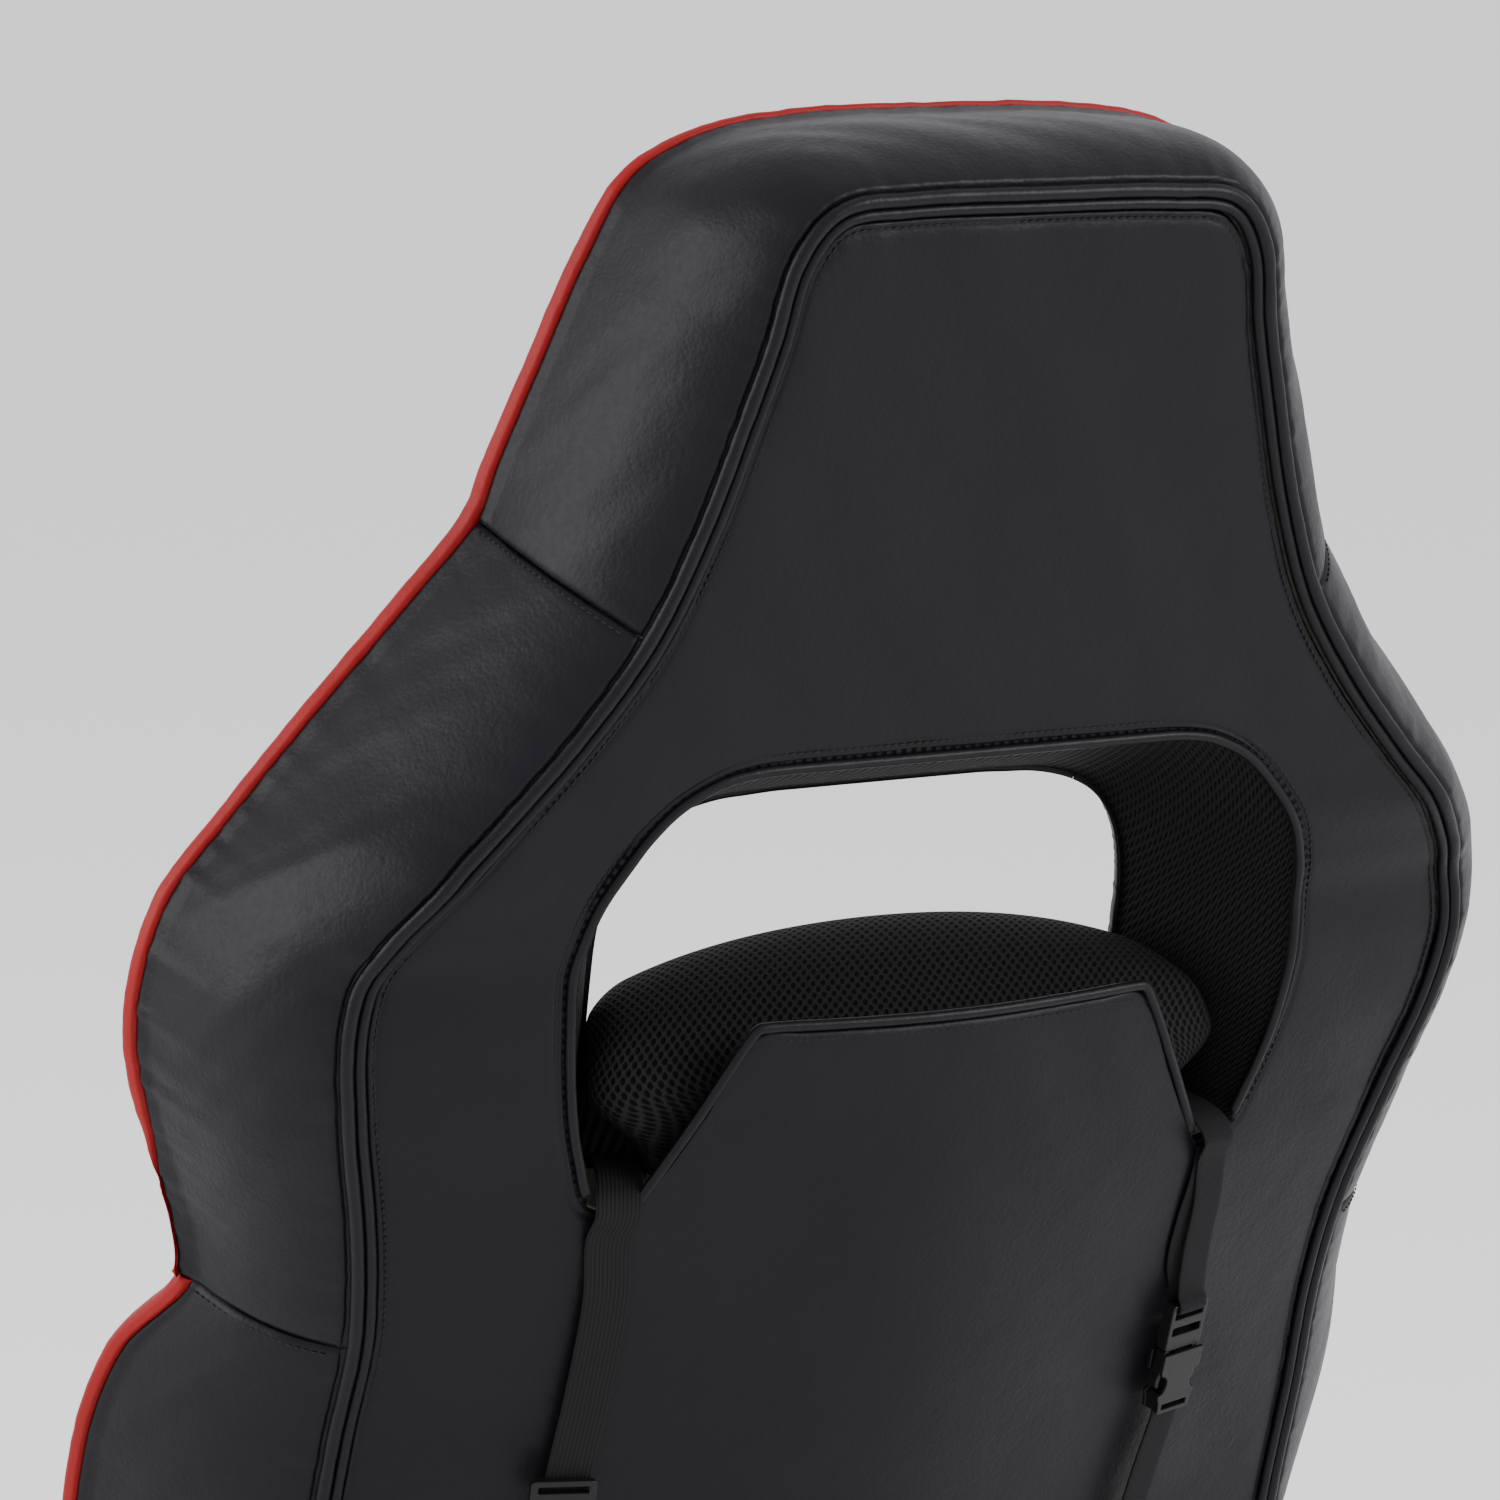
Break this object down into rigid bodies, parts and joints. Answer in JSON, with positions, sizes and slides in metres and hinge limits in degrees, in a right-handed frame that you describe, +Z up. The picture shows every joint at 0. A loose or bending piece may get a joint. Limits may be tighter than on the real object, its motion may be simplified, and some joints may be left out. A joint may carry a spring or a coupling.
{
  "type": "racing seat",
  "caption": "Reclining bucket-style racing seat: winged back with an opening behind the shoulders, strapped lumbar pillow, bolstered cushion on a steel plate.",
  "frame": {"origin": "middle of the base plate, on its underside", "axes": "+Z up out of the base plate, +Y the way the seat faces, +X towards the side with the recline lever"},
  "size_m": [0.587, 0.7313, 0.8664],
  "materials": {
    "frame_tube": "black powder-coated steel tube",
    "back_foam": "moulded foam",
    "black_leather": "satin black PU leather, fine grain",
    "red_leather": "satin red PU leather",
    "padded_black": "foam cushion under satin black PU leather",
    "padded_mesh": "foam pad under black spacer mesh",
    "spacer_mesh": "black 3D spacer mesh",
    "webbing": "black woven strap",
    "black_plastic": "moulded black plastic",
    "black_steel": "black powder-coated steel",
    "zinc_steel": "zinc-plated steel",
    "plywood": "plywood"
  },
  "bodies": {
    "seat": {"base_plate": "black_steel", "seat_board": "plywood", "board_bolt_1": "zinc_steel", "board_bolt_2": "zinc_steel", "board_bolt_3": "zinc_steel", "board_bolt_4": "zinc_steel", "seat_cushion": "padded_black", "seat_bolster_right": "padded_black", "seat_bolster_left": "padded_black", "seat_piping_right": "red_leather", "seat_piping_left": "red_leather", "recliner_bracket_right": "black_steel", "recliner_bracket_left": "black_steel", "recliner_cover_right": "black_plastic", "recliner_cover_left": "black_plastic", "pivot_bolt_right": "zinc_steel", "pivot_bolt_left": "zinc_steel"},
    "back": {"back_frame": "frame_tube", "back_foam": "back_foam", "rear_panel": "black_leather", "gusset_head": "black_leather", "gusset_shoulder_right": "black_leather", "gusset_shoulder_left": "black_leather", "gusset_waist_right": "black_leather", "gusset_waist_left": "black_leather", "red_border_upper": "red_leather", "red_border_lower_right": "red_leather", "red_border_lower_left": "red_leather", "front_head_cover": "black_leather", "front_shoulder_cover_right": "black_leather", "front_shoulder_cover_left": "black_leather", "front_lumbar_cover": "black_leather", "opening_liner": "spacer_mesh", "piping_inner": "black_leather", "piping_outer": "black_leather", "rim_piping": "black_leather", "tongue_piping": "black_leather", "centre_pad": "padded_mesh", "strap_left": "webbing", "strap_right_upper": "webbing", "buckle_male": "black_plastic", "lumbar_pillow": "padded_black", "back_arm_right": "black_steel", "back_arm_left": "black_steel", "arm_bolt_right": "zinc_steel", "arm_bolt_left": "zinc_steel"},
    "lever": {"recline_lever": "black_steel", "lever_grip": "black_plastic"},
    "buckle": {"buckle_female": "black_plastic", "strap_right_lower": "webbing"},
    "prong_left": {"buckle_prong_left": "black_plastic"},
    "prong_right": {"buckle_prong_right": "black_plastic"},
    "slider": {"strap_slider": "black_plastic"}
  },
  "joints": [
    {"name": "recline", "type": "hinge", "parent": "seat", "child": "back", "pos_m": [0, -0.245, 0.115], "axis": [1, 0, 0], "range_deg": [-12, 48]},
    {"name": "recline_lever", "type": "hinge", "parent": "seat", "child": "lever", "pos_m": [0, -0.245, 0.115], "axis": [1, 0, 0], "range_deg": [0, 25], "stiffness_Nm_per_rad": 4, "springref_deg": -14.32},
    {"name": "buckle_release", "type": "slide", "parent": "back", "child": "buckle", "axis": [-0.0209, 0.2933, -0.9558], "range_m": [0, 0.018]},
    {"name": "buckle_prong_left", "type": "slide", "parent": "back", "child": "prong_left", "axis": [0.9708, 0.2345, 0.0507], "range_m": [0, 0.002], "stiffness_N_per_m": 1500, "springref_m": -0.0004},
    {"name": "buckle_prong_right", "type": "slide", "parent": "back", "child": "prong_right", "axis": [-0.9708, -0.2345, -0.0507], "range_m": [0, 0.002], "stiffness_N_per_m": 1500, "springref_m": -0.0004},
    {"name": "strap_slider", "type": "slide", "parent": "back", "child": "slider", "axis": [0.0144, 0.2679, -0.9633], "range_m": [-0.02, 0.02]}
  ],
  "couplings": [
    {"joint": "buckle_prong_right", "follows": "buckle_prong_left", "ratio": 1}
  ]
}
